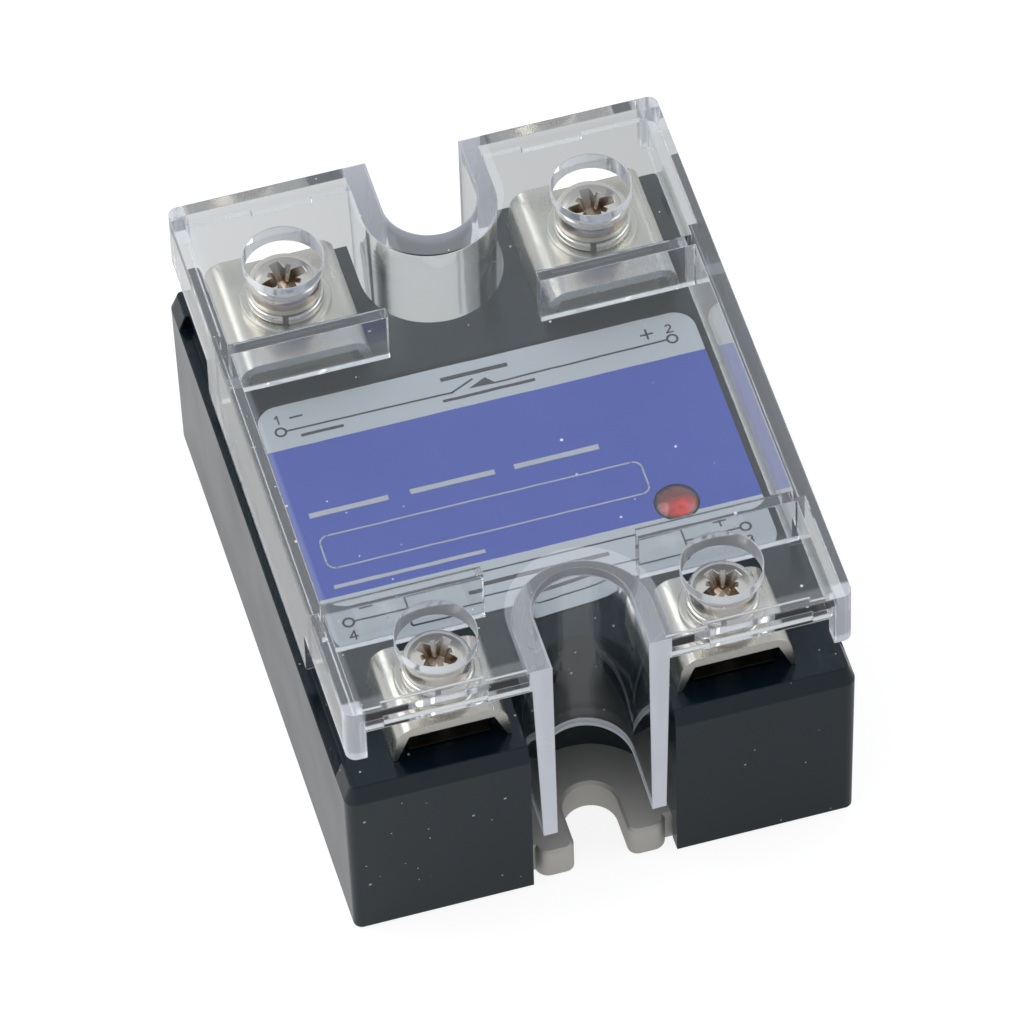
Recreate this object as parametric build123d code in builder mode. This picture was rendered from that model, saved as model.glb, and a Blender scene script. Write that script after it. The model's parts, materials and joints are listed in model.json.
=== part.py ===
"""Solid state relay for a panel or heat sink, with a lift-off clear cover and four screw terminals.

+Y points to the output terminals 1 and 2, -Y to the control terminals 4 and 3, +Z up.
The origin is the middle of the underside of the metal base plate. All sizes are in millimetres.
"""

import os
from math import atan, degrees

from build123d import *

os.makedirs("parts", exist_ok=True)

# Housing
width = 45.0
length = 58.0
housing_low = 0.2
rim_z = 17.7
top_z = 19.4
rim_inset = 0.6
corner_r = 1.0
draft = 0.75
wall = 1.6
roof = 2.2
ledge_length = 51.0
ledge_x = 21.4

# Notches that let the two mounting screws through
notch_half = 6.4
notch_end_y = 17.6
notch_wall = 1.5

# Base plate
plate_top = 3.2
plate_width = 41.4
plate_length = 54.2
ear_width = 11.6
ear_length = 56.2
mount_slot_half = 2.4
mount_slot_end = 21.8
slot_mouth_r = 0.9

# Clear cover
cover_width = 44.2
cover_length = 58.0
cover_top = 30.0
plate_under = 28.1
cover_wall = 1.3
flange_low = 19.45
flange_front = -15.1
flange_back = 16.5
side_low = 24.0
lip_low = 27.5
leg_x = 20.4
skirt_low = 7.1
skirt_low_inner = 8.3
skirt_out = 6.05
skirt_out_end = 17.75
skirt_in = 4.2
skirt_in_end = 19.3
skirt_draft = 1.5
divider = 1.1
divider_low = 22.6
divider_end = 6.8
divider_front = -16.6
divider_back = 13.05
hole_r = 3.5

# Terminals: centre, clamp size and turn of each one
output_x = 13.85
output_y = 20.8
input_x = 12.5
input_y = -22.6
clamp_low = 19.45
clamp_top = 23.3
clamp_sheet = 1.0
washer_t = 0.6
spring_t = 1.0
head_h = 2.4
shank_length = 12.0
nut_low = 15.1
nut_h = 3.2
seat_depth = 0.9
leg_width = 4.0

# Label
label_width = 39.4
label_length = 27.0
label_x = 0.5
label_y = -0.8
label_t = 0.12
bed_play = 0.3

# Parts on the inside
track_top = 4.13
fill_low = 8.0
fill_top = 10.6
board_top = 11.8
led_x = 12.95
led_y = -7.65
lens_r = 1.85
lens_rise = 0.6


def write(node, name):
    """Names a finished node and writes its file."""
    node.part.label = name
    export_step(node.part, f"parts/{name}.step")


def u_face(half, end_y, mouth_y):
    """Outline of a U lying along Y: open at mouth_y, rounded at end_y."""
    side = 1 if mouth_y > end_y else -1
    with BuildSketch(mode=Mode.PRIVATE) as outline:
        with Locations((0, end_y + side * half)):
            Circle(half)
        with Locations((0, (end_y + side * half + mouth_y) / 2)):
            Rectangle(2 * half, abs(mouth_y - end_y) - half)
    return outline.sketch


class Terminal:
    """Place and sizes of one screw terminal; side is 1 at the output end and -1 at the control end."""

    def __init__(self, name, x, y, side):
        output = side > 0
        self.name = name
        self.x = x
        self.y = y
        self.side = side
        self.half = 6.15 if output else 5.2
        self.depth = 11.6 if output else 8.3
        self.head_r = 3.2 if output else 2.95
        self.shank_r = 1.95 if output else 1.7
        self.nut_flats = 7.0 if output else 6.0
        # the plate's leg stands just inside the nut, towards the middle of the relay
        self.leg_t = 0.9 if output else 0.7
        self.leg_y = y - side * (4.7 if output else 3.7)
        self.plate_in = self.leg_y - side * self.leg_t / 2
        self.plate_out = y + side * (self.depth / 2 - 0.85)


ends = (-1, 1)
terminals = (
    Terminal("terminal_1", -output_x, output_y, 1),
    Terminal("terminal_2", output_x, output_y, 1),
    Terminal("terminal_3", input_x, input_y, -1),
    Terminal("terminal_4", -input_x, input_y, -1),
)

# Metal base plate: carries the heat away and has a screw slot in each ear
with BuildPart() as base_plate:
    with BuildSketch() as outline:
        RectangleRounded(plate_width, plate_length, 1.0)
        RectangleRounded(ear_width, ear_length, 1.2)
        for end in ends:
            add(u_face(mount_slot_half, end * mount_slot_end, end * 30.0), mode=Mode.SUBTRACT)
        mouths = outline.vertices().filter_by(
            lambda v: abs(v.X) < mount_slot_half + 0.1 and abs(v.Y) > ear_length / 2 - 0.1
        )
        fillet(mouths, slot_mouth_r)
    extrude(amount=plate_top)
    slot_rims = base_plate.edges().filter_by(lambda e: abs(e.center().Z - plate_top) < 0.01)
    chamfer(slot_rims, 0.25)
write(base_plate, "base_plate")

# Black housing: a box open below, with a notch at each end and four terminal pillars
with BuildPart() as housing:
    with BuildSketch(Plane.XY.offset(rim_z)):
        RectangleRounded(width, length, corner_r)
    extrude(amount=-(rim_z - housing_low), taper=draft)
    with BuildSketch(Plane.XY.offset(rim_z)):
        RectangleRounded(width, length, corner_r)
    extrude(amount=top_z - rim_z, taper=degrees(atan(rim_inset / (top_z - rim_z))))
    # side ledges under the cover's flanges
    with BuildSketch(Plane.XY.offset(rim_z)):
        for side in ends:
            with Locations((side * (ledge_x + 1), 0)):
                Rectangle(2, ledge_length)
    extrude(amount=3, mode=Mode.SUBTRACT)
    # space for the base plate
    with BuildSketch(Plane.XY.offset(housing_low)):
        Rectangle(width - 2 * wall, length - 2 * wall)
    extrude(amount=plate_top + 0.05 - housing_low, mode=Mode.SUBTRACT)
    # room for the electronics, leaving the notch walls and the pillars
    with BuildSketch(Plane.XY.offset(plate_top + 0.05)):
        Rectangle(width - 2 * wall, length - 2 * wall)
        for end in ends:
            keep = u_face(notch_half + notch_wall, end * (notch_end_y - notch_wall), end * 30)
            add(keep, mode=Mode.SUBTRACT)
        for t in terminals:
            pillar_in = abs(t.leg_y) + t.leg_t / 2 + 0.2
            with Locations((t.x, t.side * (pillar_in + 27.4) / 2)):
                Rectangle(10.4, 27.4 - pillar_in, mode=Mode.SUBTRACT)
    extrude(amount=top_z - roof - plate_top - 0.05, mode=Mode.SUBTRACT)
    # the notches, through from top to bottom
    with BuildSketch():
        for end in ends:
            add(u_face(notch_half, end * notch_end_y, end * 30))
    extrude(amount=top_z + 1, mode=Mode.SUBTRACT)
    # each terminal: a seat for its plate, a slot for the plate's leg, a nut pocket and a screw bore
    for t in terminals:
        with BuildSketch(Plane.XY.offset(top_z)):
            with Locations((t.x, (t.plate_in + t.plate_out) / 2)):
                Rectangle(2 * t.half - 3.0, abs(t.plate_out - t.plate_in) + 0.2)
        extrude(amount=-seat_depth, mode=Mode.SUBTRACT)
        with BuildSketch(Plane.XY.offset(top_z)):
            with Locations((t.x, t.leg_y - t.side * 0.1)):
                Rectangle(leg_width + 0.3, t.leg_t + 0.4)
            if t.side < 0:
                with Locations((t.x, t.leg_y + t.side * 0.3)):
                    Rectangle(leg_width + 0.3, t.leg_t)
        extrude(amount=-roof - 0.5, mode=Mode.SUBTRACT)
        with BuildSketch(Plane.XY.offset(top_z)):
            with Locations((t.x, t.y)):
                RegularPolygon(t.nut_flats / 2 + 0.1, 6, major_radius=False)
        extrude(amount=nut_low - top_z, mode=Mode.SUBTRACT)
        with BuildSketch(Plane.XY.offset(top_z)):
            with Locations((t.x, t.y)):
                Circle(t.shank_r + 0.4)
        extrude(amount=11.4 - top_z, mode=Mode.SUBTRACT)
    # shallow bed for the label and the hole for the lamp
    with BuildSketch(Plane.XY.offset(top_z)):
        with Locations((label_x, label_y)):
            RectangleRounded(label_width + 2 * bed_play, label_length + 2 * bed_play, 2.2)
    extrude(amount=-label_t, mode=Mode.SUBTRACT)
    with BuildSketch(Plane.XY.offset(top_z)):
        with Locations((led_x, led_y)):
            Circle(lens_r + 0.1)
    extrude(amount=-roof - 0.5, mode=Mode.SUBTRACT)
write(housing, "housing")

# Printed label
with BuildPart() as label:
    with BuildSketch(Plane.XY.offset(top_z - label_t)):
        with Locations((label_x, label_y)):
            RectangleRounded(label_width, label_length, 2.0)
        with Locations((led_x, led_y)):
            Circle(lens_r + 0.15, mode=Mode.SUBTRACT)
    extrude(amount=label_t)
write(label, "label")

# Clear cover
with BuildPart() as cover:
    with BuildSketch(Plane.XY.offset(flange_low)):
        RectangleRounded(cover_width, cover_length, 0.9)
    extrude(amount=cover_top - flange_low)
    with BuildSketch(Plane.XY.offset(flange_low)):
        Rectangle(cover_width - 2 * cover_wall, cover_length - 2 * cover_wall)
    extrude(amount=plate_under - flange_low, mode=Mode.SUBTRACT)
    # the side walls stop higher beside the terminals, so only the middle reaches the housing
    with BuildSketch(Plane.XY.offset(flange_low)):
        with Locations((0, (flange_front - 30) / 2)):
            Rectangle(50, 30 + flange_front)
        with Locations((0, (flange_back + 30) / 2)):
            Rectangle(50, 30 - flange_back)
    extrude(amount=side_low - flange_low, mode=Mode.SUBTRACT)
    # wire openings between the legs at both ends
    with BuildSketch(Plane.XY.offset(flange_low)):
        for end in ends:
            with Locations((0, end * 28)):
                Rectangle(2 * leg_x, 4)
    extrude(amount=lip_low - flange_low, mode=Mode.SUBTRACT)
    # legs at the four corners, a little thicker than the wall
    with BuildSketch(Plane.XY.offset(side_low)):
        for end in ends:
            for side in ends:
                with Locations((side * (leg_x + 0.75), end * (cover_length / 2 - 0.9))):
                    Rectangle(1.5, 1.2)
    extrude(amount=plate_under - side_low)
    # skirts that line the two notches of the housing
    with BuildSketch(Plane.XY.offset(cover_top)):
        for end in ends:
            add(u_face(skirt_out, end * skirt_out_end, end * 31))
    extrude(amount=-(cover_top - skirt_low), taper=skirt_draft)
    with BuildSketch(Plane.XY.offset(skirt_low - 1)):
        for end in ends:
            with Locations((0, end * (cover_length / 2 + 3))):
                Rectangle(20, 6)
    extrude(amount=cover_top - skirt_low + 2, mode=Mode.SUBTRACT)
    with BuildSketch(Plane.XY.offset(skirt_low - 1)):
        for end in ends:
            add(u_face(skirt_in, end * skirt_in_end, end * 31))
    extrude(amount=cover_top - skirt_low + 2, mode=Mode.SUBTRACT)
    # the skirts end lower at the ends of the cover than at their round
    with BuildSketch(Plane.YZ.offset(-10)):
        for end in ends:
            with BuildLine():
                Polyline(
                    (end * cover_length / 2, skirt_low - 1),
                    (end * cover_length / 2, skirt_low),
                    (end * skirt_out_end, skirt_low_inner),
                    (end * (skirt_out_end - 1), skirt_low_inner),
                    (end * (skirt_out_end - 1), skirt_low - 1),
                    close=True,
                )
            make_face()
    extrude(amount=20, mode=Mode.SUBTRACT)
    # cross walls between the terminals and the label
    with BuildSketch(Plane.XY.offset(divider_low)):
        for side in ends:
            for middle in (divider_front, divider_back):
                with Locations((side * (divider_end + 21.0) / 2, middle)):
                    Rectangle(21.0 - divider_end, divider)
    extrude(amount=plate_under + 0.3 - divider_low)
    # screwdriver holes over the four screws
    with BuildSketch(Plane.XY.offset(plate_under - 1)):
        for t in terminals:
            with Locations((t.x, t.y)):
                Circle(hole_r)
    extrude(amount=4, mode=Mode.SUBTRACT)
    # thin pads along the inside of the four lips
    with BuildSketch(Plane.XY.offset(lip_low)):
        for side in ends:
            with Locations((side * 14.2, -cover_length / 2 + cover_wall + 0.2)):
                Rectangle(9.0, 0.4)
            with Locations((side * 12.2, cover_length / 2 - cover_wall - 0.2)):
                Rectangle(5.4, 0.4)
    extrude(amount=1.2)
write(cover, "cover")

# The pieces of each screw terminal
for t in terminals:
    # nickel-plated saddle that presses the wire down
    with BuildPart() as clamp:
        with BuildSketch(Plane.XZ.offset(-t.y - t.depth / 2)):
            with BuildLine():
                Polyline(
                    (t.x - t.half, clamp_low),
                    (t.x - t.half + 0.5, clamp_top),
                    (t.x + t.half - 0.5, clamp_top),
                    (t.x + t.half, clamp_low),
                    close=True,
                )
            make_face()
            fillet([v for v in vertices() if v.Y > clamp_top - 1], 1.7)
            with BuildLine():
                Polyline(
                    (t.x - t.half + 0.35, clamp_low),
                    (t.x - t.half + 1.5, clamp_top - clamp_sheet),
                    (t.x + t.half - 1.5, clamp_top - clamp_sheet),
                    (t.x + t.half - 0.35, clamp_low),
                    close=True,
                )
            make_face(mode=Mode.SUBTRACT)
        extrude(amount=t.depth)
        with BuildSketch(Plane.XY.offset(clamp_top)):
            with Locations((t.x, t.y)):
                Circle(t.shank_r + 0.3)
        extrude(amount=-2, mode=Mode.SUBTRACT)
    write(clamp, t.name + "_clamp")

    # plate the wire lies on, with a leg and a foot going down to the electronics
    foot_low = track_top if t.side > 0 else board_top
    foot_length = 9.0 if t.side > 0 else 5.5
    with BuildPart() as plate:
        with BuildSketch(Plane.XY.offset(top_z - seat_depth)):
            with Locations((t.x, (t.plate_in + t.plate_out) / 2)):
                Rectangle(2 * t.half - 3.2, abs(t.plate_out - t.plate_in))
            with Locations((t.x, t.y)):
                Circle(t.shank_r + 0.3, mode=Mode.SUBTRACT)
        extrude(amount=seat_depth + 0.2)
        with BuildSketch(Plane.XY.offset(foot_low)):
            with Locations((t.x, t.leg_y)):
                Rectangle(leg_width, t.leg_t)
        extrude(amount=top_z - seat_depth - foot_low)
        with BuildSketch(Plane.XY.offset(foot_low)):
            with Locations((t.x, t.leg_y - t.side * foot_length / 2)):
                Rectangle(leg_width, foot_length)
        extrude(amount=0.8)
    write(plate, t.name + "_plate")

    # hexagon nut held in the housing
    with BuildPart() as nut:
        with BuildSketch(Plane.XY.offset(nut_low)):
            with Locations((t.x, t.y)):
                RegularPolygon(t.nut_flats / 2, 6, major_radius=False)
                Circle(t.shank_r + 0.05, mode=Mode.SUBTRACT)
        extrude(amount=nut_h)
    write(nut, t.name + "_nut")

    # flat washer
    with BuildPart() as flat_washer:
        with BuildSketch(Plane.XY.offset(clamp_top)):
            with Locations((t.x, t.y)):
                Circle(t.head_r + 0.8)
                Circle(t.shank_r + 0.3, mode=Mode.SUBTRACT)
        extrude(amount=washer_t)
        chamfer(flat_washer.faces().sort_by(Axis.Z)[-1].outer_wire().edges(), 0.12)
    write(flat_washer, t.name + "_flat_washer")

    # split spring washer
    with BuildPart() as spring_washer:
        with BuildSketch(Plane.XY.offset(clamp_top + washer_t)):
            with Locations((t.x, t.y)):
                Circle(t.head_r + 0.2)
                Circle(t.shank_r + 0.3, mode=Mode.SUBTRACT)
        extrude(amount=spring_t)
        with BuildSketch(Plane.XZ.offset(-t.y)):
            with Locations((t.x - 0.4, clamp_top + washer_t + spring_t / 2)):
                Rectangle(0.35, 3 * spring_t, rotation=-25)
        extrude(amount=5, mode=Mode.SUBTRACT)
    write(spring_washer, t.name + "_spring_washer")

    # pan-head screw with a combined cross and slot
    head_low = clamp_top + washer_t + spring_t
    with BuildPart() as screw:
        with BuildSketch(Plane.XY.offset(head_low)):
            with Locations((t.x, t.y)):
                Circle(t.head_r)
        extrude(amount=head_h)
        fillet(screw.faces().sort_by(Axis.Z)[-1].edges(), 0.7)
        with BuildSketch(Plane.XY.offset(head_low + head_h)):
            with Locations((t.x, t.y)):
                Rectangle(4.6, 1.1)
                Rectangle(1.1, 4.6)
        extrude(amount=-1.7, mode=Mode.SUBTRACT, taper=8)
        with BuildSketch(Plane.XY.offset(head_low + head_h)):
            with Locations((t.x, t.y)):
                Rectangle(8, 0.9, rotation=45)
        extrude(amount=-0.8, mode=Mode.SUBTRACT)
        with BuildSketch(Plane.XY.offset(head_low)):
            with Locations((t.x, t.y)):
                Circle(t.shank_r)
        extrude(amount=-shank_length)
        chamfer(screw.faces().sort_by(Axis.Z)[0].edges(), 0.4)
    write(screw, t.name + "_screw")

# Ceramic sheet that insulates the chips from the base plate
with BuildPart() as ceramic_sheet:
    with BuildSketch(Plane.XY.offset(plate_top)):
        Rectangle(36, 22)
    extrude(amount=0.63)
write(ceramic_sheet, "ceramic_sheet")

# Copper tracks on the ceramic sheet, one per output terminal
with BuildPart() as copper_tracks:
    with BuildSketch(Plane.XY.offset(plate_top + 0.63)):
        for side in ends:
            with Locations((side * 8.9, 0)):
                Rectangle(16.8, 21)
    extrude(amount=0.3)
write(copper_tracks, "copper_tracks")

# Power transistor chips
with BuildPart() as power_chips:
    with BuildSketch(Plane.XY.offset(track_top)):
        with GridLocations(0, 6, 1, 3):
            with Locations((5.5, -3)):
                Rectangle(5.0, 4.4)
    extrude(amount=0.35)
write(power_chips, "power_chips")

# Bond wires from the chips to the other track
with BuildPart() as bond_wires:
    for row in range(3):
        for strand in (-1.2, 0, 1.2):
            wire_y = 6 * (row - 1) - 3 + strand
            with BuildLine() as path:
                ThreePointArc(
                    (-3.5, wire_y, track_top),
                    (0.6, wire_y, track_top + 2.4),
                    (4.8, wire_y, track_top + 0.35),
                )
            with BuildSketch(Plane(path.line @ 0, z_dir=path.line % 0)):
                Circle(0.2)
            sweep()
write(bond_wires, "bond_wires")

# Hard potting compound over the power stage
with BuildPart() as potting:
    with BuildSketch(Plane.XY.offset(fill_low)):
        Rectangle(width - 2 * wall - 0.4, 31.6)
        for t in terminals[:2]:
            with Locations((t.x, t.leg_y)):
                Rectangle(leg_width + 0.3, t.leg_t + 0.3, mode=Mode.SUBTRACT)
    extrude(amount=fill_top - fill_low)
write(potting, "potting")

# Control circuit board
with BuildPart() as circuit_board:
    with BuildSketch(Plane.XY.offset(fill_top)):
        Rectangle(38, 28)
    extrude(amount=board_top - fill_top)
write(circuit_board, "circuit_board")

# Optocoupler that isolates the control side from the output side
with BuildPart() as optocoupler:
    with BuildSketch(Plane.XY.offset(board_top + 0.5)):
        Rectangle(6.4, 4.6)
    extrude(amount=2.8)
    chamfer(optocoupler.faces().sort_by(Axis.Z)[-1].edges(), 0.3)
    with BuildSketch(Plane.XY.offset(board_top)):
        for end in ends:
            for side in ends:
                with Locations((side * 1.27 * 2, end * 2.7)):
                    Rectangle(0.9, 0.8)
    extrude(amount=1.6)
write(optocoupler, "optocoupler")

# Small parts on the board
with BuildPart() as resistors:
    with BuildSketch(Plane.XY.offset(board_top)):
        with Locations((-11, -8), (-7, -8), (-3, -8)):
            Rectangle(1.6, 3.2)
    extrude(amount=0.6)
write(resistors, "resistors")

with BuildPart() as regulator:
    with BuildSketch(Plane.XY.offset(board_top)):
        with Locations((5.5, -9)):
            Rectangle(4.5, 2.5)
    extrude(amount=1.5)
write(regulator, "current_regulator")

with BuildPart() as diode:
    with BuildSketch(Plane.YZ.offset(-13.5)):
        with Locations((4.5, board_top + 1.3)):
            Circle(1.3)
    extrude(amount=5.2)
write(diode, "reverse_diode")

with BuildPart() as capacitor:
    with BuildSketch(Plane.XY.offset(board_top)):
        with Locations((-12.5, -1.5)):
            Circle(2.0)
    extrude(amount=4.6)
    fillet(capacitor.faces().sort_by(Axis.Z)[-1].edges(), 0.3)
write(capacitor, "capacitor")

with BuildPart() as driver:
    with BuildSketch(Plane.XY.offset(board_top)):
        with Locations((9, 6)):
            Rectangle(5.0, 4.0)
    extrude(amount=1.6)
write(driver, "gate_driver")

# Red lamp: low dome in the label's hole with a flange under the roof, and two leads down to the board
flange_top = top_z - roof - 0.1
dome_r = (lens_r**2 + lens_rise**2) / (2 * lens_rise)
dome_drop = dome_r - (dome_r**2 - (lens_r / 2) ** 2) ** 0.5
with BuildPart() as lamp:
    with BuildSketch(Plane.XZ.offset(-led_y)):
        with BuildLine():
            ThreePointArc(
                (led_x, top_z + lens_rise),
                (led_x + lens_r / 2, top_z + lens_rise - dome_drop),
                (led_x + lens_r, top_z),
            )
            Polyline(
                (led_x + lens_r, top_z),
                (led_x + lens_r, flange_top),
                (led_x + lens_r + 0.45, flange_top),
                (led_x + lens_r + 0.45, flange_top - 0.8),
                (led_x, flange_top - 0.8),
                (led_x, top_z + lens_rise),
            )
        make_face()
    revolve(axis=Axis((led_x, led_y, 0), (0, 0, 1)))
write(lamp, "lamp_lens")

with BuildPart() as lamp_leads:
    with BuildSketch(Plane.XY.offset(board_top)):
        for side in ends:
            with Locations((led_x + side * 0.9, led_y)):
                Rectangle(0.5, 0.5)
    extrude(amount=top_z - roof - 0.9 - board_top)
write(lamp_leads, "lamp_leads")
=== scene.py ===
"""Solid state relay: looks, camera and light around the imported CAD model. Metres, +Z up."""

import json
import math

import bmesh
import bpy
from mathutils import Matrix, Vector


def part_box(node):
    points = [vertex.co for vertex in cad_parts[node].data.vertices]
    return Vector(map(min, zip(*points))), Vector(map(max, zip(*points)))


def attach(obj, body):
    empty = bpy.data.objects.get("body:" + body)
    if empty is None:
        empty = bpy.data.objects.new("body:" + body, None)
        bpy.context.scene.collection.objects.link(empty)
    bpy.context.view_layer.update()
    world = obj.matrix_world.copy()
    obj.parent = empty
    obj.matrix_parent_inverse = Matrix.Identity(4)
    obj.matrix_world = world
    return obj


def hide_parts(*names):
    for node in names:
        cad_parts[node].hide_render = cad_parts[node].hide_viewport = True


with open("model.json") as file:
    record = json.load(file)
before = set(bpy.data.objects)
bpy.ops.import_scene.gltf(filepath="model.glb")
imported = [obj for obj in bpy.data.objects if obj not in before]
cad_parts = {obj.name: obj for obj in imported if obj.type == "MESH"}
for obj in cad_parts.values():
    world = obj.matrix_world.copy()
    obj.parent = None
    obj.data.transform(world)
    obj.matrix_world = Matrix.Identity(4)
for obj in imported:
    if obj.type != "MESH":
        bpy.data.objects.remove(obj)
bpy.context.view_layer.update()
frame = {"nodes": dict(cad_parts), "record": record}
MM = 0.001
scene = bpy.context.scene
nodes = frame["nodes"]


# ---------------------------------------------------------------- node helpers
def new_material(name):
    mat = bpy.data.materials.new(name)
    mat.use_nodes = True
    tree = mat.node_tree
    shader = tree.nodes["Principled BSDF"]
    return mat, tree, shader


def add(tree, kind, **values):
    node = tree.nodes.new(kind)
    for key, value in values.items():
        setattr(node, key, value)
    return node


def link(tree, a, b):
    tree.links.new(a, b)


def coords(tree):
    return add(tree, "ShaderNodeTexCoord").outputs["Object"]


def axes(tree):
    """X, Y and Z of the object's own coordinates."""
    split = add(tree, "ShaderNodeSeparateXYZ")
    link(tree, coords(tree), split.inputs[0])
    return split.outputs["X"], split.outputs["Y"], split.outputs["Z"]


def noise(tree, scale, detail=3.0, rough=0.5, stretch=None):
    """Noise of the object's own coordinates; scale is in cells per metre."""
    node = add(tree, "ShaderNodeTexNoise")
    node.inputs["Scale"].default_value = scale
    node.inputs["Detail"].default_value = detail
    node.inputs["Roughness"].default_value = rough
    source = coords(tree)
    if stretch is not None:
        mapping = add(tree, "ShaderNodeMapping")
        mapping.inputs["Scale"].default_value = stretch
        link(tree, source, mapping.inputs["Vector"])
        source = mapping.outputs["Vector"]
    link(tree, source, node.inputs["Vector"])
    return node.outputs["Fac"]


def math_node(tree, operation, a, b=None):
    node = add(tree, "ShaderNodeMath", operation=operation)
    for i, v in enumerate((a, b)):
        if v is None:
            continue
        if isinstance(v, (int, float)):
            node.inputs[i].default_value = v
        else:
            link(tree, v, node.inputs[i])
    return node.outputs[0]


def times(tree, a, b):
    return math_node(tree, "MULTIPLY", a, b)


def larger(tree, a, b):
    return math_node(tree, "MAXIMUM", a, b)


def remap(tree, value, a, b, low, high, smooth=False):
    node = add(tree, "ShaderNodeMapRange")
    if smooth:
        node.interpolation_type = "SMOOTHSTEP"
    link(tree, value, node.inputs["Value"])
    node.inputs["From Min"].default_value = a
    node.inputs["From Max"].default_value = b
    node.inputs["To Min"].default_value = low
    node.inputs["To Max"].default_value = high
    return node.outputs["Result"]


def mix_colour(tree, factor, a, b):
    node = add(tree, "ShaderNodeMix", data_type="RGBA")
    for socket, v in ((node.inputs["Factor"], factor), (node.inputs[6], a), (node.inputs[7], b)):
        if isinstance(v, (int, float)):
            socket.default_value = v
        elif isinstance(v, tuple):
            socket.default_value = (*v, 1.0)
        else:
            link(tree, v, socket)
    return node.outputs[2]


def bump(tree, height, strength, distance, normal=None):
    """Fine relief; strength is a share and distance is in metres."""
    node = add(tree, "ShaderNodeBump")
    node.inputs["Strength"].default_value = strength
    node.inputs["Distance"].default_value = distance
    link(tree, height, node.inputs["Height"])
    if normal is not None:
        link(tree, normal, node.inputs["Normal"])
    return node.outputs["Normal"]


def soft_edges(tree, radius):
    """Normal that rolls over the sharp edges, as moulded and punched edges do."""
    node = add(tree, "ShaderNodeBevel", samples=4)
    node.inputs["Radius"].default_value = radius
    return node.outputs["Normal"]


def specks(tree, scale, size, share):
    """Mask of small grains of dust: one in a share of the cells, each size of a cell wide."""
    cell = add(tree, "ShaderNodeTexVoronoi")
    cell.inputs["Scale"].default_value = scale
    link(tree, coords(tree), cell.inputs["Vector"])
    near = math_node(tree, "LESS_THAN", cell.outputs["Distance"], size)
    split = add(tree, "ShaderNodeSeparateColor")
    link(tree, cell.outputs["Color"], split.inputs["Color"])
    some = math_node(tree, "LESS_THAN", split.outputs[0], share)
    return times(tree, near, some)


# ---------------------------------------------------------------- materials
def black_plastic():
    mat, t, s = new_material("black_moulded_plastic")
    tone = mix_colour(t, noise(t, 160, 4), (0.001, 0.005, 0.010), (0.003, 0.009, 0.016))
    dust = larger(t, specks(t, 420, 0.055, 0.35), specks(t, 900, 0.07, 0.2))
    link(t, mix_colour(t, dust, tone, (0.45, 0.45, 0.43)), s.inputs["Base Color"])
    link(t, remap(t, noise(t, 90, 3), 0.3, 0.7, 0.17, 0.24), s.inputs["Roughness"])
    grain = noise(t, 5200, 2.0, 0.6)
    link(t, bump(t, grain, 0.02, 0.00002, soft_edges(t, 0.0002)), s.inputs["Normal"])
    s.inputs["IOR"].default_value = 1.52
    s.inputs["Specular Tint"].default_value = (0.80, 0.93, 1.0, 1)
    return mat


def metal(name, low, high, rough, streak, grain, edge=0.0001, metallic=1.0):
    """Plated or rolled metal: tone varies in soft patches, and fine drawn lines run along streak."""
    mat, t, s = new_material(name)
    s.inputs["Metallic"].default_value = metallic
    patch = noise(t, 110, 3, 0.5)
    link(t, mix_colour(t, patch, low, high), s.inputs["Base Color"])
    lines = noise(t, 3200, 2, 0.5, streak)
    base = remap(t, patch, 0.3, 0.7, rough[0], rough[1])
    link(t, math_node(t, "ADD", base, remap(t, lines, 0.3, 0.7, -0.02, 0.02)), s.inputs["Roughness"])
    link(t, bump(t, lines, grain, 0.000004, soft_edges(t, edge)), s.inputs["Normal"])
    return mat


def smooth_band(t, value, low, high, soft):
    """1 between low and high, fading to 0 within soft outside them."""
    rise = remap(t, value, low - soft, low, 0, 1, smooth=True)
    fall = remap(t, value, high, high + soft, 1, 0, smooth=True)
    return times(t, rise, fall)


def distance_2d(t, x, y, cx, cy):
    dx = math_node(t, "SUBTRACT", x, cx)
    dy = math_node(t, "SUBTRACT", y, cy)
    return math_node(t, "SQRT", math_node(t, "ADD", times(t, dx, dx), times(t, dy, dy)))


# Places on the clear cover that its milky areas follow
COVER_TOP_FROM_Z = 29.8 * MM
COVER_EDGE_FROM_X = 20.3 * MM
COVER_EDGE_FROM_Y = 27.3 * MM
NOTCH_CENTRE_Y = 23.65 * MM
NOTCH_INNER = 4.2 * MM
NOTCH_OUTER = 6.05 * MM
NOTCH_END_Y = 28.93 * MM
CROSS_WALLS_Y = (-16.6 * MM, 13.05 * MM)
CROSS_WALL_FOOT = 22.75 * MM
CROSS_WALL_FROM_X = 6.7 * MM
DRIVER_HOLE_R = 3.5 * MM
screw_boxes = [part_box(f"terminal_{n}_screw") for n in (1, 2, 3, 4)]
DRIVER_HOLES = [((low.x + high.x) / 2, (low.y + high.y) / 2) for low, high in screw_boxes]


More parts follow.
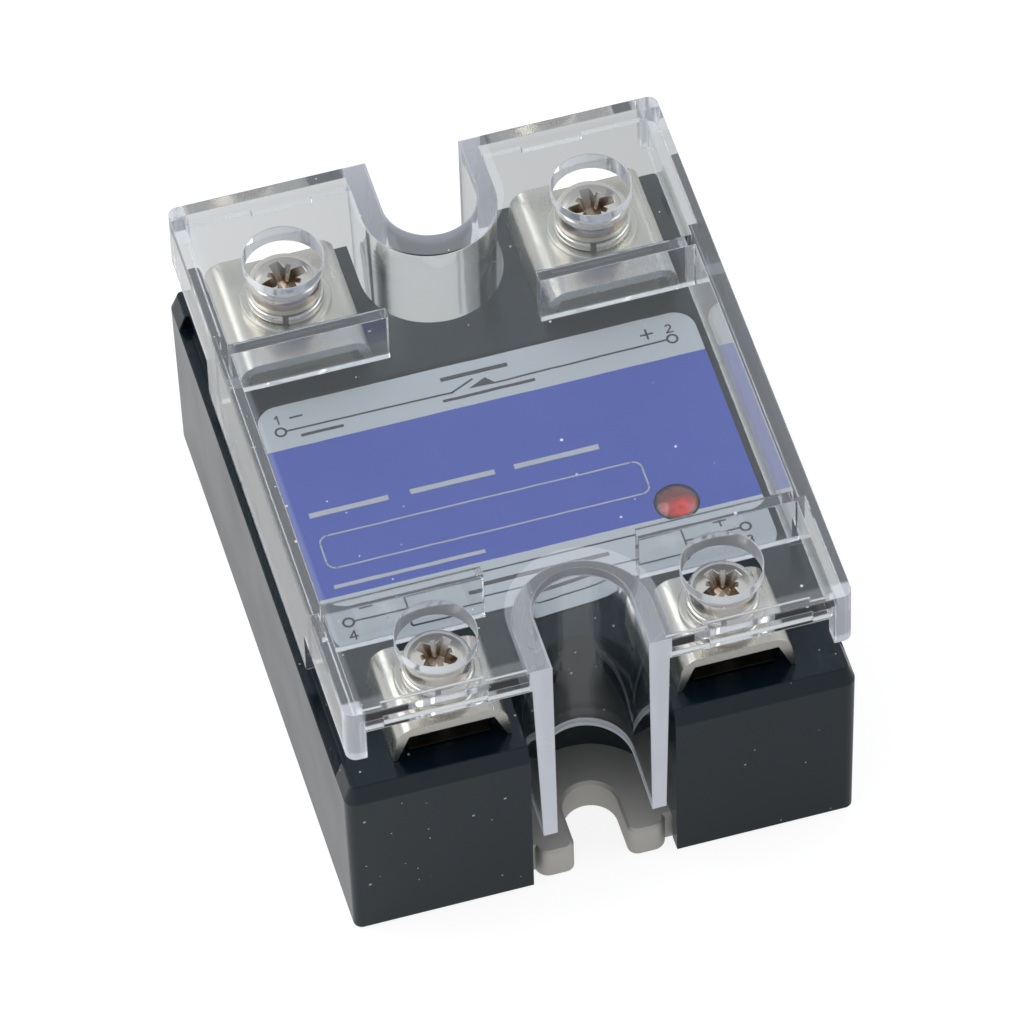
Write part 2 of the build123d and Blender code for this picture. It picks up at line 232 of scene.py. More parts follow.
def milk_and_painted_glow(t):
    """How milky the clear plastic is at each place, which also sets where it gives a painted glow: most
    where one looks along a wall.
    """
    x, y, z = axes(t)
    x_out, y_out = math_node(t, "ABSOLUTE", x), math_node(t, "ABSOLUTE", y)
    past = larger(t, math_node(t, "SUBTRACT", NOTCH_CENTRE_Y, y_out), 0.0)
    wall_d = distance_2d(t, x, past, 0.0, 0.0)
    edge_x = remap(t, x_out, COVER_EDGE_FROM_X, COVER_EDGE_FROM_X + 0.4 * MM, 0, 1)
    edge_y = remap(t, y_out, COVER_EDGE_FROM_Y, COVER_EDGE_FROM_Y + 0.4 * MM, 0, 1)

    # top face: its border and the rims of the two notches
    rim = smooth_band(t, wall_d, NOTCH_INNER - 0.1 * MM, NOTCH_OUTER + 0.45 * MM, 0.1 * MM)
    milk = larger(t, times(t, larger(t, edge_x, edge_y), 0.12), times(t, rim, 0.22))
    milk = times(t, milk, math_node(t, "GREATER_THAN", z, COVER_TOP_FROM_Z))

    # lower edges of the two cross walls, which show through the walls from above
    foot = math_node(t, "LESS_THAN", z, CROSS_WALL_FOOT)
    foot = times(t, foot, math_node(t, "GREATER_THAN", x_out, CROSS_WALL_FROM_X))
    for middle in CROSS_WALLS_Y:
        wall = smooth_band(t, y, middle - 0.6 * MM, middle + 0.6 * MM, 0.05 * MM)
        milk = larger(t, milk, times(t, times(t, wall, foot), 0.16))

    # upper part of the notches' inner faces
    inside = math_node(t, "LESS_THAN", wall_d, NOTCH_INNER + 0.2 * MM)
    upper = remap(t, z, 26.8 * MM, 29.6 * MM, 0, 0.34, smooth=True)
    milk = larger(t, milk, times(t, inside, upper))

    # corner posts, cloudier at the front pair
    post = times(t, edge_x, edge_y)
    milk = larger(t, milk, times(t, post, remap(t, y, -20 * MM, 20 * MM, 0.58, 0.3)))

    # end faces of the notch walls, and the lower rim that slopes from one end to the round
    near_notch = math_node(t, "LESS_THAN", wall_d, NOTCH_OUTER + 0.15 * MM)
    ends = times(t, near_notch, math_node(t, "GREATER_THAN", y_out, NOTCH_END_Y))
    rim_z = remap(t, y_out, 17.75 * MM, 29.0 * MM, 8.3 * MM, 7.1 * MM)
    low_rim = math_node(t, "LESS_THAN", math_node(t, "SUBTRACT", z, rim_z), 0.4 * MM)
    milk = larger(t, milk, times(t, larger(t, ends, low_rim), 0.85))

    for cx, cy in DRIVER_HOLES:
        radial = distance_2d(t, x, y, cx, cy)
        hole = smooth_band(t, radial, DRIVER_HOLE_R - 0.1 * MM, DRIVER_HOLE_R + 0.04 * MM, 0.03 * MM)
        milk = larger(t, milk, times(t, hole, 0.4))

    dust = larger(t, specks(t, 330, 0.05, 0.22), specks(t, 800, 0.06, 0.10))
    return larger(t, milk, times(t, dust, 0.8))


def clear_cover():
    """Clear moulding that turns milky by place and gives a painted glow where milky; light passes it as
    through thin clear film.
    """
    mat, t, s = new_material("clear_polycarbonate")
    s.inputs["Base Color"].default_value = (0.965, 0.98, 0.985, 1)
    s.inputs["Transmission Weight"].default_value = 1.0
    s.inputs["IOR"].default_value = 1.56
    haze = noise(t, 130, 5, 0.65)
    link(t, remap(t, haze, 0.35, 0.8, 0.0, 0.04), s.inputs["Roughness"])
    waves = noise(t, 220, 2, 0.4)
    normal = bump(t, waves, 0.05, 0.0002, soft_edges(t, 0.00018))
    link(t, normal, s.inputs["Normal"])

    cloudy_with_painted_glow = add(t, "ShaderNodeBsdfPrincipled")
    tone = mix_colour(t, noise(t, 300, 3), (0.78, 0.81, 0.90), (0.88, 0.90, 0.97))
    link(t, tone, cloudy_with_painted_glow.inputs["Base Color"])
    # painted light: the milky places glow faintly, in place of light that the plastic leads to its edges
    cloudy_with_painted_glow.inputs["Emission Color"].default_value = (0.85, 0.9, 1, 1)
    cloudy_with_painted_glow.inputs["Emission Strength"].default_value = 0.09  # light that the plastic leads to its edges
    link(t, remap(t, haze, 0.3, 0.7, 0.25, 0.40), cloudy_with_painted_glow.inputs["Roughness"])
    link(t, normal, cloudy_with_painted_glow.inputs["Normal"])
    plastic_mix = add(t, "ShaderNodeMixShader")
    # the milky share also sets where the painted glow shows
    link(t, milk_and_painted_glow(t), plastic_mix.inputs[0])
    link(t, s.outputs[0], plastic_mix.inputs[1])
    link(t, cloudy_with_painted_glow.outputs[0], plastic_mix.inputs[2])

    through = add(t, "ShaderNodeBsdfTransparent")
    through.inputs["Color"].default_value = (0.94, 0.95, 0.955, 1)
    path = add(t, "ShaderNodeLightPath")
    rays = larger(t, path.outputs["Is Shadow Ray"], path.outputs["Is Diffuse Ray"])
    mixer = add(t, "ShaderNodeMixShader")
    link(t, rays, mixer.inputs[0])
    link(t, plastic_mix.outputs[0], mixer.inputs[1])
    link(t, through.outputs[0], mixer.inputs[2])
    link(t, mixer.outputs[0], t.nodes["Material Output"].inputs["Surface"])
    return mat


def printed_label(silver_above, silver_below):
    """Printed film: blue between two silver bands."""
    mat, t, s = new_material("printed_label_film")
    _, y, _ = axes(t)
    top = math_node(t, "GREATER_THAN", y, silver_above)
    low = math_node(t, "LESS_THAN", y, silver_below)
    band = larger(t, top, low)
    fleck = noise(t, 9000, 2)
    silver = mix_colour(t, fleck, (0.47, 0.51, 0.56), (0.52, 0.56, 0.61))
    blue = mix_colour(t, noise(t, 320, 3), (0.038, 0.078, 0.43), (0.052, 0.094, 0.465))
    dust = specks(t, 380, 0.05, 0.25)
    printed = mix_colour(t, band, blue, silver)
    link(t, mix_colour(t, dust, printed, (0.75, 0.76, 0.8)), s.inputs["Base Color"])
    link(t, remap(t, noise(t, 400, 3), 0.3, 0.7, 0.42, 0.52), s.inputs["Roughness"])
    link(t, bump(t, noise(t, 3000, 2), 0.05, 0.00002), s.inputs["Normal"])
    return mat


def plastic(name, low, high, rough, scale=500, grain=0.1, ior=1.5):
    """Plain moulded or baked stuff: two close tones in patches, with a fine grain."""
    mat, t, s = new_material(name)
    link(t, mix_colour(t, noise(t, scale, 3), low, high), s.inputs["Base Color"])
    link(t, remap(t, noise(t, scale * 2, 3), 0.3, 0.7, rough - 0.06, rough + 0.06), s.inputs["Roughness"])
    link(t, bump(t, noise(t, scale * 8, 2), grain, 0.00002, soft_edges(t, 0.0001)), s.inputs["Normal"])
    s.inputs["IOR"].default_value = ior
    return mat


def terminal_plate(painted_shade_from):
    """Nickel on brass, with its outer end darkened as painted shade, where it lies in shade under the
    clamp.
    """
    tones = ((0.56, 0.52, 0.45), (0.64, 0.60, 0.52))
    mat = metal("nickel_on_brass", *tones, (0.30, 0.40), ALONG_X, 0.05)
    t = mat.node_tree
    s = t.nodes["Principled BSDF"]
    _, y, _ = axes(t)
    out = math_node(t, "ABSOLUTE", y)
    out = math_node(t, "ADD", out, remap(t, noise(t, 900, 3), 0.3, 0.7, -0.3 * MM, 0.3 * MM))
    # painted shade: the plate's outer end turns near black
    dark = remap(t, out, painted_shade_from - 0.5 * MM, painted_shade_from + 0.3 * MM, 0, 0.95, smooth=True)
    colour = s.inputs["Base Color"].links[0].from_socket
    link(t, mix_colour(t, dark, colour, (0.03, 0.03, 0.03)), s.inputs["Base Color"])
    return mat


def red_lens():
    """Red lens: dark red, darker at its rim as painted shade, and bright red towards its lower side as
    painted light.
    """
    mat, t, s = new_material("red_lamp_lens")
    low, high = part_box("lamp_lens")
    cx, cy, r = (low.x + high.x) / 2, (low.y + high.y) / 2, 1.85 * MM
    x, y, _ = axes(t)
    radial = distance_2d(t, x, y, cx, cy)
    # painted light: the lens bright red towards its lower side
    lower = remap(t, y, cy + 0.5 * MM, cy - 0.9 * MM, 0, 1, smooth=True)
    painted_light_mask = times(t, lower, remap(t, radial, 0.8 * r, 0.98 * r, 1, 0, smooth=True))
    painted_light_mask = times(t, painted_light_mask, remap(t, noise(t, 1300, 3), 0.35, 0.65, 0.45, 1.0))
    # painted shade: darker towards the rim
    rim_painted_shade = remap(t, radial, 0.72 * r, 0.95 * r, 0, 1, smooth=True)
    body = mix_colour(t, rim_painted_shade, (0.15, 0.022, 0.022), (0.03, 0.008, 0.008))
    link(t, mix_colour(t, painted_light_mask, body, (0.95, 0.045, 0.035)), s.inputs["Base Color"])
    link(t, remap(t, noise(t, 900, 2), 0.3, 0.7, 0.05, 0.10), s.inputs["Roughness"])
    link(t, bump(t, noise(t, 1000, 2), 0.25, 0.0001), s.inputs["Normal"])
    s.inputs["IOR"].default_value = 1.6
    return mat


# Where metal's drawn lines run: each is a stretch of the noise along X, Y and Z
ALONG_X, ALONG_Y, ALONG_Z, NO_LINES = (0.2, 1, 1), (1, 0.2, 1), (1, 1, 0.2), (1, 1, 1)
MATERIALS = {
    "black_plastic": black_plastic(),
    "clear_plastic": clear_cover(),
    "label_film": printed_label(7.9 * MM, -8.95 * MM),
    "base_metal": metal(
        "base_plate_metal",
        (0.60, 0.585, 0.555),
        (0.74, 0.72, 0.685),
        (0.50, 0.62),
        (0.25, 1, 1),
        0.12,
        metallic=0.7,
    ),
    "nickel_plated_steel": metal(
        "nickel_plating", (0.57, 0.555, 0.51), (0.66, 0.64, 0.59), (0.24, 0.32), ALONG_Y, 0.03
    ),
    "nickel_plated_brass": terminal_plate(24.0 * MM),
    "zinc_plated_steel": metal(
        "zinc_plating", (0.50, 0.51, 0.52), (0.62, 0.63, 0.64), (0.30, 0.42), NO_LINES, 0.15
    ),
    "copper": metal(
        "copper_sheet", (0.62, 0.30, 0.18), (0.75, 0.42, 0.28), (0.30, 0.42), (1, 0.3, 1), 0.1
    ),
    "aluminium_wire": metal(
        "aluminium_wire", (0.70, 0.70, 0.70), (0.82, 0.82, 0.82), (0.25, 0.35), NO_LINES, 0.05
    ),
    "tinned_wire": metal(
        "tinned_wire", (0.60, 0.60, 0.59), (0.72, 0.72, 0.70), (0.25, 0.35), ALONG_Z, 0.08
    ),
    "white_ceramic": plastic("white_ceramic", (0.72, 0.71, 0.66), (0.82, 0.81, 0.77), 0.5),
    "silicon": plastic("silicon_die", (0.10, 0.11, 0.14), (0.16, 0.17, 0.21), 0.15, ior=1.9),
    "epoxy": plastic("epoxy_potting", (0.012, 0.012, 0.012), (0.025, 0.025, 0.025), 0.25, 200),
    "board_laminate": plastic("board_laminate", (0.02, 0.12, 0.05), (0.03, 0.17, 0.07), 0.35, 900),
    "white_plastic": plastic("white_package", (0.70, 0.70, 0.66), (0.80, 0.80, 0.76), 0.45),
    "ceramic_black": plastic("black_package", (0.02, 0.02, 0.02), (0.04, 0.04, 0.04), 0.5, 900),
    "capacitor_sleeve": plastic("capacitor_sleeve", (0.01, 0.015, 0.05), (0.02, 0.025, 0.08), 0.2),
    "red_lens": red_lens(),
}

slots = {p["node"]: p["material_slot"] for p in frame["record"]["subparts"]}
for name, obj in nodes.items():
    obj.data.materials.clear()
    obj.data.materials.append(MATERIALS[slots[name]])

# ---------------------------------------------------------------- print on the label
LABEL_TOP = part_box("label")[1].z
PRINT_T = 0.015 * MM


def ink(name, low, high, rough):
    return plastic(name, low, high, rough, 900, 0.02)


DARK_INK = ink("dark_print", (0.030, 0.033, 0.040), (0.055, 0.058, 0.066), 0.5)
PALE_INK = ink("pale_print", (0.42, 0.45, 0.52), (0.50, 0.53, 0.60), 0.5)


class Print:
    """Flat marks of one ink on the label, drawn in millimetres and given a little thickness."""

    def __init__(self, name, material):
        self.name = name
        self.material = material
        self.bm = bmesh.new()

    def face(self, points):
        low = [self.bm.verts.new((x * MM, y * MM, LABEL_TOP)) for x, y in points]
        top = [self.bm.verts.new((x * MM, y * MM, LABEL_TOP + PRINT_T)) for x, y in points]
        self.bm.faces.new(top)
        self.bm.faces.new(low[::-1])
        for i in range(len(points)):
            j = (i + 1) % len(points)
            self.bm.faces.new((low[i], low[j], top[j], top[i]))

    def stroke(self, a, b, width=0.2):
        a, b = Vector(a), Vector(b)
        along = (b - a).normalized() * width / 2
        side = Vector((-along.y, along.x))
        a, b = a - along, b + along
        self.face([a - side, b - side, b + side, a + side])

    def path(self, points, width=0.2):
        for a, b in zip(points, points[1:]):
            self.stroke(a, b, width)

    def ring(self, centre, radius, width=0.2, start=0.0, end=360.0, steps=32):
        inner, outer = radius - width / 2, radius + width / 2
        for i in range(steps):
            corners = []
            for angle, r in ((i, inner), (i + 1, inner), (i + 1, outer), (i, outer)):
                turn = math.radians(start + (end - start) * angle / steps)
                corners.append((centre[0] + r * math.cos(turn), centre[1] + r * math.sin(turn)))
            self.face(corners[::-1])

    def frame_line(self, x0, y0, x1, y1, radius, width=0.2):
        """Rectangle with rounded corners, as a line."""
        left, right, low, high = x0 + radius, x1 - radius, y0 + radius, y1 - radius
        for cx, cy, start in ((right, high, 0), (left, high, 90), (left, low, 180), (right, low, 270)):
            self.ring((cx, cy), radius, width, start, start + 90, 8)
        self.stroke((left, y0), (right, y0), width)
        self.stroke((left, y1), (right, y1), width)
        self.stroke((x0, low), (x0, high), width)
        self.stroke((x1, low), (x1, high), width)

    def place(self):
        mesh = bpy.data.meshes.new(self.name)
        bmesh.ops.recalc_face_normals(self.bm, faces=self.bm.faces)
        self.bm.to_mesh(mesh)
        self.bm.free()
        obj = bpy.data.objects.new(self.name, mesh)
        scene.collection.objects.link(obj)
        mesh.materials.append(self.material)
        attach(obj, "base")


def numeral(draw, digit, x, y, height=0.85, width=0.14):
    """A terminal number, built of strokes inside a box half as wide as high."""
    w, h = height * 0.28, height / 2
    if digit == 1:
        draw.path([(x - w * 0.7, y + h * 0.55), (x + w * 0.2, y + h), (x + w * 0.2, y - h)], width)
    elif digit == 2:
        draw.ring((x, y + h * 0.45), h * 0.52, width, 160, -40, 12)
        draw.path([(x + h * 0.42, y + h * 0.12), (x - w, y - h), (x + w * 1.2, y - h)], width)
    elif digit == 3:
        draw.ring((x, y + h * 0.48), h * 0.48, width, 150, -90, 12)
        draw.ring((x, y - h * 0.48), h * 0.52, width, 90, -150, 12)
    elif digit == 4:
        stem, bar = x + w * 0.6, y - h * 0.35
        draw.path([(stem, y - h), (stem, y + h), (x - w * 1.3, bar), (x + w * 1.4, bar)], width)


dark = Print("label_dark_print", DARK_INK)
ROW_TOP, ROW_LOW = 9.85, -11.3
LEFT_DOT, RIGHT_DOT = -17.45, 17.8
for x in (LEFT_DOT, RIGHT_DOT):
    for y in (ROW_TOP, ROW_LOW):
        dark.ring((x, y), 0.45, 0.2, steps=24)
# the output: a line with the sign of a switch
dark.stroke((LEFT_DOT + 0.55, ROW_TOP), (-2.1, ROW_TOP - 0.12), 0.18)
dark.stroke((-2.1, ROW_TOP - 0.12), (-0.1, 10.62), 0.18)
dark.face([(-0.6, 9.75), (1.9, 9.6), (1.05, 10.5)])
dark.stroke((1.9, 9.7), (RIGHT_DOT - 0.55, ROW_TOP), 0.18)
# the control input: a long box between the two dots
dark.frame_line(-12.2, -12.6, 12.4, -10.0, 0.15, 0.16)
dark.stroke((LEFT_DOT + 0.55, ROW_LOW), (-12.3, ROW_LOW), 0.18)
dark.stroke((12.5, ROW_LOW), (RIGHT_DOT - 0.55, ROW_LOW), 0.18)
numeral(dark, 1, -17.4, 11.2)
numeral(dark, 2, 17.8, 11.05)
numeral(dark, 3, 17.8, -12.75)
numeral(dark, 4, -17.4, -12.75)
SIGNS = ((-15.75, 11.15, False), (15.8, 10.95, True), (-15.6, -10.1, False), (15.8, -10.1, True))
for x, y, plus in SIGNS:
    dark.stroke((x - 0.5, y), (x + 0.5, y), 0.18)
    if plus:
        dark.stroke((x, y - 0.5), (x, y + 0.5), 0.18)
# plain bars where such labels have their wording: from x, to x, y, thickness
DARK_BARS = (
    (-2.5, 3.1, 11.35, 0.42),
    (-3.0, 5.0, 9.0, 0.3),
    (-15.7, -12.2, 9.0, 0.3),
    (-6.6, 5.6, -11.3, 0.42),
)
for x0, x1, y, thick in DARK_BARS:
    dark.stroke((x0, y), (x1, y), thick)
dark.place()

pale = Print("label_pale_print", PALE_INK)
pale.frame_line(-17.5, -5.9, 11.2, -2.3, 0.8, 0.16)
PALE_BARS = (
    (-17.3, -10.8, 0.2, 0.55),
    (-8.3, -1.3, 0.2, 0.55),
    (1.0, 8.0, 0.2, 0.55),
    (-17.4, -4.4, -7.9, 0.4),
)
for x0, x1, y, thick in PALE_BARS:
    pale.stroke((x0, y), (x1, y), thick)
pale.place()

# ---------------------------------------------------------------- terminal screws and spring washers
RECESS_BROWN = (0.46, 0.385, 0.315)
RECESS_DEPTH = 1.55 * MM
RECESS_WIDTH = 0.54 * MM
RECESS_REACH = 0.66  # of the head's radius
RECESS_WINGS = (  # direction in degrees, then the share of the reach, of the width and of the depth
    (0, 1.0, 1.0, 1.0),
    (90, 0.97, 1.06, 1.0),
    (45, 0.78, 0.55, 0.8),
    (135, 0.74, 0.6, 0.8),
)
RECESS_TURNS = {1: 0.25, 2: 0.05, 3: 0.45, 4: 0.8}  # radians, as the screws happen to stand
HEAD_EDGE = 0.75 * MM
HEAD_UNDER_R = 0.32 * MM
SHANK_RADIUS = {1: 1.95 * MM, 2: 1.95 * MM, 3: 1.70 * MM, 4: 1.70 * MM}
PITCH = {1: 0.7 * MM, 2: 0.7 * MM, 3: 0.6 * MM, 4: 0.6 * MM}


def mesh_object(name, bm, material):
    mesh = bpy.data.meshes.new(name)
    bm.to_mesh(mesh)
    bm.free()
    obj = bpy.data.objects.new(name, mesh)
    scene.collection.objects.link(obj)
    mesh.materials.append(material)
    return obj


def lathe(profile, centre, steps=72):
    """Turned solid: profile is (radius, z) pairs from the lower end on the axis to the upper end."""
    bm = bmesh.new()
    rings = []
    for radius, z in profile:
        if radius == 0:
            rings.append([bm.verts.new((centre[0], centre[1], z))])
            continue
        rings.append([
            bm.verts.new((
                centre[0] + radius * math.cos(2 * math.pi * i / steps),
                centre[1] + radius * math.sin(2 * math.pi * i / steps),
                z,
            ))
            for i in range(steps)
        ])
    for low, high in zip(rings, rings[1:]):
        for i in range(steps):
            j = (i + 1) % steps
            if len(low) == 1:
                bm.faces.new((low[0], high[j], high[i]))
            elif len(high) == 1:
                bm.faces.new((low[i], low[j], high[0]))
            else:
                bm.faces.new((low[i], low[j], high[j], high[i]))
    bmesh.ops.recalc_face_normals(bm, faces=bm.faces)
    return bm


def cross_cutter(centre, top, wing, width, depth, turn):
    """Cross recess with small wings between the large ones; it narrows towards its floor."""
    bm = bmesh.new()
    for angle, reach, half, down in RECESS_WINGS:
        c, n = math.cos(math.radians(angle) + turn), math.sin(math.radians(angle) + turn)
        layers = []
        for z, k in ((top + 0.3 * MM, 1.10), (top - depth * down, 0.45)):
            long, thin = wing * reach * k, width * half * (0.35 + 0.65 * k)
            box = [(-long, -thin * 0.8), (-long * 0.4, -thin), (long * 0.4, -thin), (long, -thin * 0.8)]
            box += [(-x, -y) for x, y in box]
            box = [(x * c - y * n, x * n + y * c) for x, y in box]
            layers.append([bm.verts.new((centre[0] + x, centre[1] + y, z)) for x, y in box])
        high, low = layers
        bm.faces.new(high)
        bm.faces.new(low[::-1])
        for i in range(len(high)):
            j = (i + 1) % len(high)
            bm.faces.new((high[j], high[i], low[i], low[j]))
    bmesh.ops.recalc_face_normals(bm, faces=bm.faces)
    return bm


def thread(centre, low, high, radius, pitch, steps=40, rows=7):
    """Threaded shank: its radius follows a ridge that climbs one pitch in a turn, with plain ends."""
    bm = bmesh.new()
    count = int((high - low) / pitch * rows)
    rings = []
    for k in range(count + 1):
        z = low + (high - low) * k / count
        ring = []
        for i in range(steps):
            phase = (z / pitch - i / steps) % 1.0
            ridge = 1 - abs(2 * phase - 1)
            fade = min(1, (z - low) / pitch, (high - z) / (0.5 * pitch))
            point = (1 - min(1, (z - low) / pitch)) * 0.3 * MM
            r = radius - 0.55 * pitch * (1 - ridge) * max(0, fade) - point
            turn = 2 * math.pi * i / steps
            ring.append(bm.verts.new((centre[0] + r * math.cos(turn), centre[1] + r * math.sin(turn), z)))
        rings.append(ring)
    for a, b in zip(rings, rings[1:]):
        for i in range(steps):
            j = (i + 1) % steps
            bm.faces.new((a[i], a[j], b[j], b[i]))
    bm.faces.new(rings[0][::-1])
    bm.faces.new(rings[-1])
    bmesh.ops.recalc_face_normals(bm, faces=bm.faces)
    return bm


def screw_plating(top, depth):
    """Bright nickel, dull and brown inside the recess."""
    tones = ((0.66, 0.64, 0.60), (0.80, 0.775, 0.73))
    mat = metal("screw_nickel", *tones, (0.14, 0.22), (1, 1, 0.3), 0.2, 0.00008)
    t = mat.node_tree
    s = t.nodes["Principled BSDF"]
    _, _, z = axes(t)
    deep = remap(t, z, top - 0.25 * MM, top - 0.8 * depth, 0, 1, smooth=True)
    above = math_node(t, "GREATER_THAN", z, top - depth - 0.1 * MM)
    inward = times(t, deep, above)
    colour = s.inputs["Base Color"].links[0].from_socket
    link(t, mix_colour(t, inward, colour, RECESS_BROWN), s.inputs["Base Color"])
    return mat


def head_profile(radius, under, top):
    """Section of a rounded head: a small radius below, a large one above and a slight crown."""
    profile = [(0, under)]
    for i in range(6):
        turn = math.radians(90 * i / 5)
        inset, rise = HEAD_UNDER_R * (1 - math.sin(turn)), HEAD_UNDER_R * (1 - math.cos(turn))
        profile.append((radius - inset, under + rise))
    profile.append((radius, top - HEAD_EDGE - 0.25 * MM))
    for i in range(1, 9):
        turn = math.radians(90 * i / 8)
        inset, drop = HEAD_EDGE * 1.15 * (1 - math.cos(turn)), HEAD_EDGE * (1 - 0.86 * math.sin(turn))
        profile.append((radius - inset, top - drop))
    return profile + [(radius * 0.5, top - 0.04 * MM), (0, top)]


def make_screw(number):
    """Screw with a worn cross recess and a real thread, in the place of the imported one."""
    name = f"terminal_{number}_screw"
    low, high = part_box(name)
    centre = ((low.x + high.x) / 2, (low.y + high.y) / 2)
    radius, top = (high.x - low.x) / 2, high.z
    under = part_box(f"terminal_{number}_spring_washer")[1].z
    plating = screw_plating(top, RECESS_DEPTH)
    head = mesh_object(name + "_turned", lathe(head_profile(radius, under, top), centre), plating)
    wing, turn = radius * RECESS_REACH, RECESS_TURNS[number]
    recess = cross_cutter(centre, top, wing, RECESS_WIDTH, RECESS_DEPTH, turn)
    cutter = mesh_object(name + "_cutter", recess, plating)
    modifier = head.modifiers.new("recess", "BOOLEAN")
    modifier.operation = "DIFFERENCE"
    modifier.solver = "EXACT"
    modifier.use_self = True
    modifier.object = cutter
    depsgraph = bpy.context.evaluated_depsgraph_get()
    cut_head = bpy.data.meshes.new_from_object(head.evaluated_get(depsgraph))
    shank = bpy.data.meshes.new(name + "_shank")
    threaded = thread(centre, low.z, under - 0.001 * MM, SHANK_RADIUS[number], PITCH[number])
    threaded.to_mesh(shank)
    threaded.free()
    bm = bmesh.new()
    bm.from_mesh(cut_head)
    bm.from_mesh(shank)
    for face in bm.faces:
        face.smooth = True
    for obj in (head, cutter):
        bpy.data.objects.remove(obj)
    screw = mesh_object(name + "_detailed", bm, plating)
    screw.data.set_sharp_from_angle(angle=math.radians(35))
    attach(screw, f"screw_{number}")
    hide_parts(name)


BRIGHT_TONES = ((0.64, 0.62, 0.58), (0.76, 0.74, 0.70))
BRIGHT_NICKEL = metal("bright_nickel", *BRIGHT_TONES, (0.10, 0.17), (1, 1, 0.3), 0.2, 0.00006)
WASHER_WIDTH = 1.25 * MM
WASHER_CORNER_R = 0.28 * MM
WASHER_RISE = 0.12 * MM  # from one end to the other
WASHER_GAP = math.radians(9)
WASHER_GAP_AT = math.radians(-104)
CORNER_POINTS = 4
CORNERS = ((1, 1, 0), (-1, 1, 90), (-1, -1, 180), (1, -1, 270))


def make_spring_washer(number, steps=120):
    """Split ring of rounded square section; its two ends stand a little apart in height."""
    name = f"terminal_{number}_spring_washer"
    low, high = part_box(name)
    cx, cy, cz = (low.x + high.x) / 2, (low.y + high.y) / 2, (low.z + high.z) / 2
    outer, half = (high.x - low.x) / 2, WASHER_WIDTH / 2
    mid, tall = outer - half, (high.z - low.z) / 2 - 0.07 * MM
    bm = bmesh.new()
    rings = []
    for k in range(steps + 1):
        share = k / steps
        turn = WASHER_GAP_AT + WASHER_GAP / 2 + (2 * math.pi - WASHER_GAP) * share
        rise = (share - 0.5) * WASHER_RISE
        ring = []
        for sx, sz, first in CORNERS:
            for i in range(CORNER_POINTS):
                a = math.radians(first + 90 * i / (CORNER_POINTS - 1))
                r = mid + sx * (half - WASHER_CORNER_R) + WASHER_CORNER_R * math.cos(a)
                z = cz + rise + sz * (tall - WASHER_CORNER_R) + WASHER_CORNER_R * math.sin(a)
                ring.append(bm.verts.new((cx + r * math.cos(turn), cy + r * math.sin(turn), z)))
        rings.append(ring)
    for a, b in zip(rings, rings[1:]):
        for i in range(len(a)):
            j = (i + 1) % len(a)
            bm.faces.new((a[i], a[j], b[j], b[i]))
    bm.faces.new(rings[0])
    bm.faces.new(rings[-1][::-1])
    bmesh.ops.recalc_face_normals(bm, faces=bm.faces)
    for face in bm.faces:
        face.smooth = True
    washer = mesh_object(name + "_detailed", bm, BRIGHT_NICKEL)
    washer.data.set_sharp_from_angle(angle=math.radians(50))
    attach(washer, f"clamp_{number}")
    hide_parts(name)


for number in (1, 2, 3, 4):
    make_spring_washer(number)
    make_screw(number)

# ---------------------------------------------------------------- floor, light, camera
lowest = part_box("base_plate")[0].z


def floor_material():
    """Plain pale paper, brighter for the camera than for what mirrors or refracts it."""
    mat, t, s = new_material("pale_floor")
    tone = mix_colour(t, noise(t, 12, 3), (0.26, 0.26, 0.26), (0.28, 0.28, 0.28))
    link(t, tone, s.inputs["Base Color"])
    s.inputs["Roughness"].default_value = 0.8
    s.inputs["Specular IOR Level"].default_value = 0.1
    s.inputs["Emission Color"].default_value = (1, 1, 1, 1)
    path = add(t, "ShaderNodeLightPath")
    x, _, _ = axes(t)
    mirrored = remap(t, x, -60 * MM, 30 * MM, 0.54, 0.30, smooth=True)
    shown = add(t, "ShaderNodeMix", data_type="FLOAT")
    link(t, path.outputs["Is Camera Ray"], shown.inputs[0])
    link(t, mirrored, shown.inputs[2])
    shown.inputs[3].default_value = 0.86
    link(t, shown.outputs[0], s.inputs["Emission Strength"])
    return mat


floor_mesh = bpy.data.meshes.new("floor")
bm = bmesh.new()
bmesh.ops.create_grid(bm, x_segments=1, y_segments=1, size=6.0)
bm.to_mesh(floor_mesh)
bm.free()
floor = bpy.data.objects.new("floor", floor_mesh)
scene.collection.objects.link(floor)
floor.location = (0, 0, lowest - 0.02 * MM)
floor.data.materials.append(floor_material())

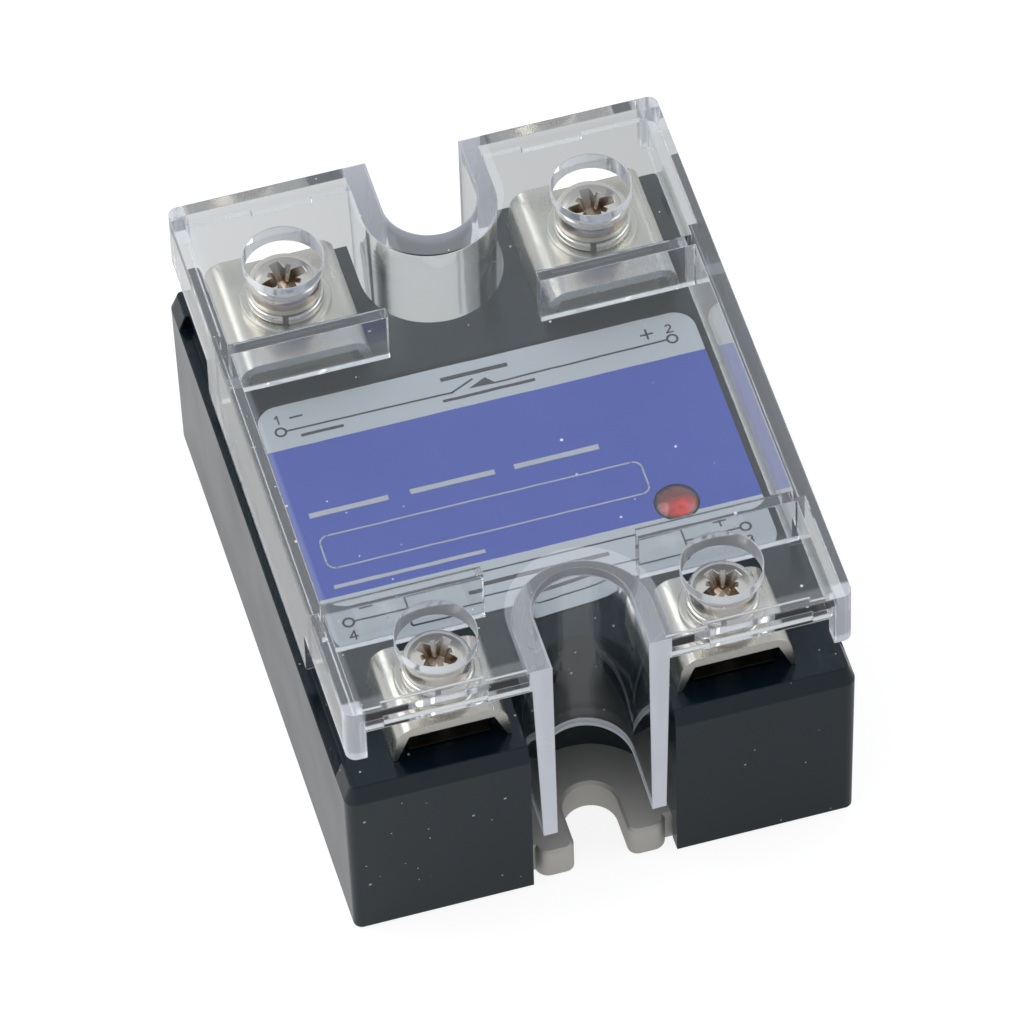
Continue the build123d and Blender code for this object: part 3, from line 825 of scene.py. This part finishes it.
world = bpy.data.worlds.new("studio")
scene.world = world
world.use_nodes = True
background = world.node_tree.nodes["Background"]
sky = add(world.node_tree, "ShaderNodeTexCoord")
parts_of = add(world.node_tree, "ShaderNodeSeparateXYZ")
link(world.node_tree, sky.outputs["Generated"], parts_of.inputs[0])
glow = remap(world.node_tree, parts_of.outputs["Y"], -0.9, 0.9, 0.42, 0.78, smooth=True)
link(world.node_tree, glow, background.inputs["Strength"])
background.inputs["Color"].default_value = (0.94, 0.97, 1.0, 1)


def softbox(name, place, target, size, power, colour=(1, 1, 1)):
    lamp = bpy.data.lights.new(name, "AREA")
    lamp.shape = "RECTANGLE"
    lamp.size, lamp.size_y = size
    lamp.energy = power
    lamp.color = colour
    obj = bpy.data.objects.new(name, lamp)
    scene.collection.objects.link(obj)
    obj.location = place
    direction = Vector(target) - Vector(place)
    obj.rotation_euler = direction.to_track_quat("-Z", "Y").to_euler()


softbox("key_left_back", (-0.7, 0.35, 0.9), (0, 0, 0.01), (0.9, 0.7), 5.0, (1.0, 0.985, 0.96))
softbox("fill_right", (0.9, -0.1, 0.8), (0, 0, 0.01), (0.7, 0.7), 2.2)

# View of the reference: nearly plan, from the control end, turned a little to the left
AZIMUTH, ELEVATION, ROLL = math.radians(-14.475), math.radians(51.435), math.radians(-2.169)
DISTANCE = 871.94 * MM
LENS, SENSOR = 350.297, 36.0
ASIDE, ABOVE = -0.0392 * MM, 9.0651 * MM  # the picture's centre from the object's origin
level = math.cos(ELEVATION)
back = Vector((math.sin(AZIMUTH) * level, -math.cos(AZIMUTH) * level, math.sin(ELEVATION)))
flat_right = Vector((0, 0, 1)).cross(back).normalized()
flat_up = back.cross(flat_right)
right = math.cos(ROLL) * flat_right + math.sin(ROLL) * flat_up
up = -math.sin(ROLL) * flat_right + math.cos(ROLL) * flat_up
eye = DISTANCE * back + ASIDE * right + ABOVE * up
camera_data = bpy.data.cameras.new("camera")
camera_data.sensor_width = SENSOR
camera_data.lens = LENS
camera_data.clip_start = 0.05
camera = bpy.data.objects.new("camera", camera_data)
scene.collection.objects.link(camera)
camera.matrix_world = Matrix.Translation(eye) @ Matrix((right, up, back)).transposed().to_4x4()
scene.camera = camera

scene.view_settings.view_transform = "Standard"
scene.cycles.caustics_refractive = False
scene.cycles.caustics_reflective = False
scene.cycles.transparent_max_bounces = 16
